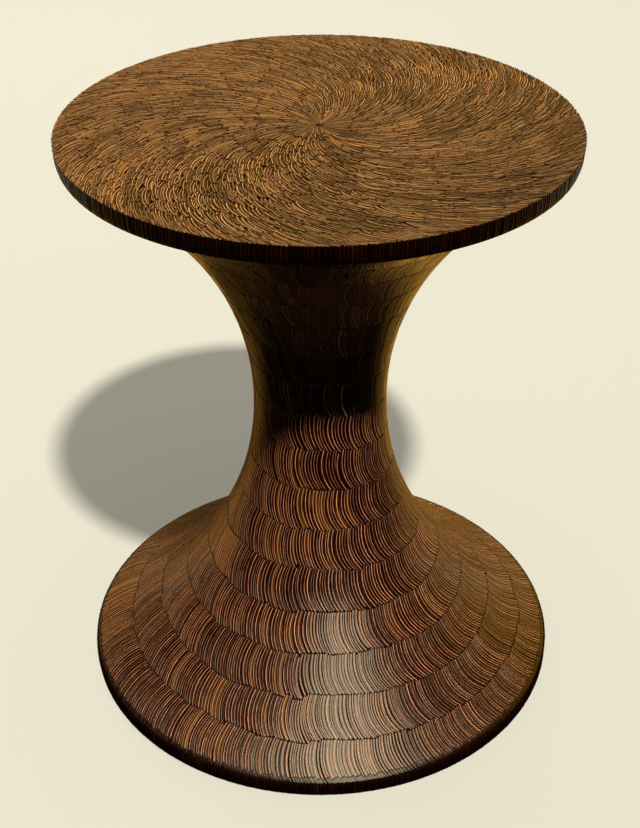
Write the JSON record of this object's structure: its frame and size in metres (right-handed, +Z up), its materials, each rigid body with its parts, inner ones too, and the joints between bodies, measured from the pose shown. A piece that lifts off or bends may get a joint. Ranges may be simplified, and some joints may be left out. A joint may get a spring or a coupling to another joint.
{
  "type": "pedestal dining table",
  "caption": "Round pedestal table on a waisted spool foot, covered in courses of bowed split twigs that wind as a vortex over the top.",
  "frame": {"origin": "middle of the foot, on the floor", "axes": "+Z up along the table's axis; X and Y level, the pictured side faces -Y"},
  "size_m": [0.625, 0.625, 0.75],
  "materials": {
    "twigs": "clear lacquer over stained split twigs",
    "edge_twigs": "dark stain, clear lacquer",
    "boards": "plain sanded board",
    "core": "turned, unfinished",
    "steel": "zinc plated"
  },
  "bodies": {
    "root": {"top_swirl_ring_1": "twigs", "top_swirl_ring_2": "twigs", "top_swirl_ring_3": "twigs", "top_swirl_ring_4": "twigs", "top_swirl_ring_5": "twigs", "top_swirl_ring_6": "twigs", "top_swirl_ring_7": "twigs", "pedestal_course_01": "twigs", "pedestal_course_02": "twigs", "pedestal_course_03": "twigs", "pedestal_course_04": "twigs", "pedestal_course_05": "twigs", "pedestal_course_06": "twigs", "pedestal_course_07": "twigs", "pedestal_course_08": "twigs", "pedestal_course_09": "twigs", "pedestal_course_10": "twigs", "pedestal_course_11": "twigs", "pedestal_course_12": "twigs", "pedestal_course_13": "twigs", "pedestal_course_14": "twigs", "pedestal_course_15": "twigs", "pedestal_course_16": "twigs", "pedestal_course_17": "twigs", "top_edge_band": "edge_twigs", "foot_edge_band": "edge_twigs", "top_board": "boards", "foot_board": "boards", "upper_core": "core", "lower_core": "core", "tie_rod": "steel", "tie_rod_nuts": "steel", "tie_rod_washers": "steel", "top_screws": "steel", "foot_screws": "steel"}
  },
  "joints": []
}
